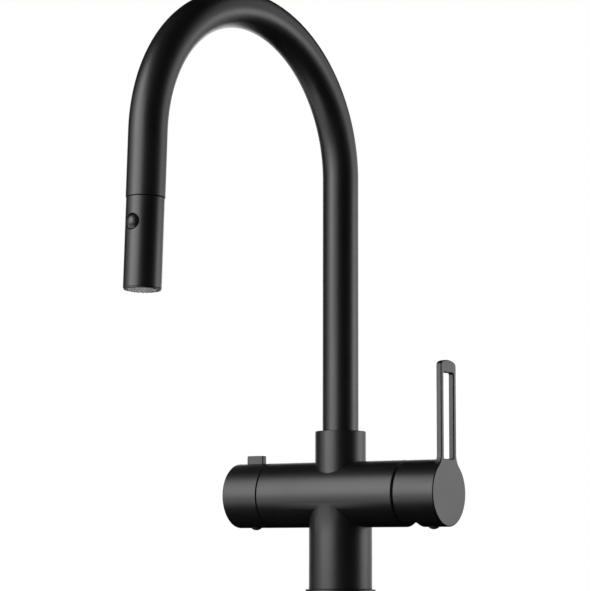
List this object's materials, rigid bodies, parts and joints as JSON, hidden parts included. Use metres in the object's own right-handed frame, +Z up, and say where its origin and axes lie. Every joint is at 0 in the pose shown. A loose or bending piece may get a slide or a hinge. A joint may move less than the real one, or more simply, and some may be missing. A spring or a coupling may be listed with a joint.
{
  "type": "kitchen mixer tap",
  "caption": "Tall single lever kitchen mixer with a swivelling gooseneck spout, a pull-out spray head and a side knob for an appliance valve.",
  "frame": {"origin": "centre of the base's underside, on the worktop", "axes": "+Z up the riser, -Y forward over the sink, +X to the lever, -X to the appliance knob. The spout rests turned 5 degrees from -Y toward -X, as pictured."},
  "size_m": [0.1868, 0.2651, 0.5027],
  "materials": {
    "black_coating": "matt black coating",
    "brass": "machined",
    "steel": "zinc plated or stainless",
    "black_rubber": "matt",
    "white_plastic": "moulded",
    "black_plastic": "moulded",
    "ceramic": "lapped",
    "grey_silicone": "matt"
  },
  "bodies": {
    "tap": {"tap_body": "black_coating", "column_sleeve": "black_coating", "base_flange": "black_coating", "base_seal": "black_rubber", "fixing_stud": "steel", "rubber_horseshoe": "black_rubber", "steel_horseshoe": "steel", "stud_nut": "brass", "swivel_screw": "steel", "hot_nipple": "brass", "cold_nipple": "brass", "appliance_nipple": "brass", "spray_hose_nipple": "brass", "cartridge_base": "white_plastic", "cartridge_seals": "black_rubber", "fixed_disc": "ceramic", "cartridge_housing": "white_plastic", "cartridge_nut": "brass", "trim_ring": "black_coating", "valve_body": "brass", "valve_seat_seal": "black_rubber", "valve_fixed_disc": "ceramic"},
    "temperature_carrier": {"spindle_holder": "white_plastic", "spindle_pin": "steel"},
    "flow_disc": {"moving_disc": "ceramic", "disc_carrier": "white_plastic"},
    "lever": {"cartridge_spindle": "steel", "lever_handle": "black_coating", "lever_grub_screw": "steel", "lever_plug": "black_rubber"},
    "appliance_knob": {"valve_spindle": "brass", "valve_moving_disc": "ceramic", "spindle_seals": "black_rubber", "knob": "black_coating", "knob_grub_screw": "steel", "knob_plug": "black_rubber"},
    "spout": {"spout_tube": "black_coating", "spout_foot": "black_coating", "swivel_ring_top": "white_plastic", "swivel_ring_bottom": "white_plastic", "mouth_bush": "black_plastic"},
    "spray_head": {"head_shell": "black_coating", "head_inlet": "black_plastic", "inlet_screen": "steel", "check_valve": "white_plastic", "diverter_body": "white_plastic", "spray_plate": "black_plastic", "nozzle_mat": "grey_silicone", "face_ring": "black_plastic", "button_spring": "steel"},
    "spray_button": {"spray_button": "black_plastic", "diverter_piston": "white_plastic"}
  },
  "joints": [
    {"name": "spout_swivel", "type": "hinge", "parent": "tap", "child": "spout", "pos_m": [0, 0, 0.11], "axis": [0, 0, 1], "range_deg": [-55, 65]},
    {"name": "spray_pull", "type": "slide", "parent": "spout", "child": "spray_head", "axis": [-0.003, -0.0348, -0.9994], "range_m": [0, 0.15], "stiffness_N_per_m": 10, "springref_m": -0.5},
    {"name": "spray_button_press", "type": "slide", "parent": "spray_head", "child": "spray_button", "axis": [0.0871, 0.9956, -0.0349], "range_m": [0, 0.002], "stiffness_N_per_m": 600, "springref_m": -0.001, "deforming": ["button_spring"]},
    {"name": "lever_turn", "type": "hinge", "parent": "tap", "child": "temperature_carrier", "pos_m": [0.038, 0, 0.075], "axis": [1, 0, 0], "range_deg": [-45, 45]},
    {"name": "lever_lift", "type": "hinge", "parent": "temperature_carrier", "child": "lever", "pos_m": [0.038, 0, 0.075], "axis": [0, 1, 0], "range_deg": [0, 20.6]},
    {"name": "disc_slide", "type": "slide", "parent": "temperature_carrier", "child": "flow_disc", "axis": [0, 0, 1], "range_m": [0, 0.0026]},
    {"name": "knob_turn", "type": "hinge", "parent": "tap", "child": "appliance_knob", "pos_m": [-0.077, 0, 0.075], "axis": [1, 0, 0], "range_deg": [0, 90]}
  ],
  "couplings": [
    {"joint": "disc_slide", "follows": "lever_lift", "m_per_rad": 0.0072}
  ]
}
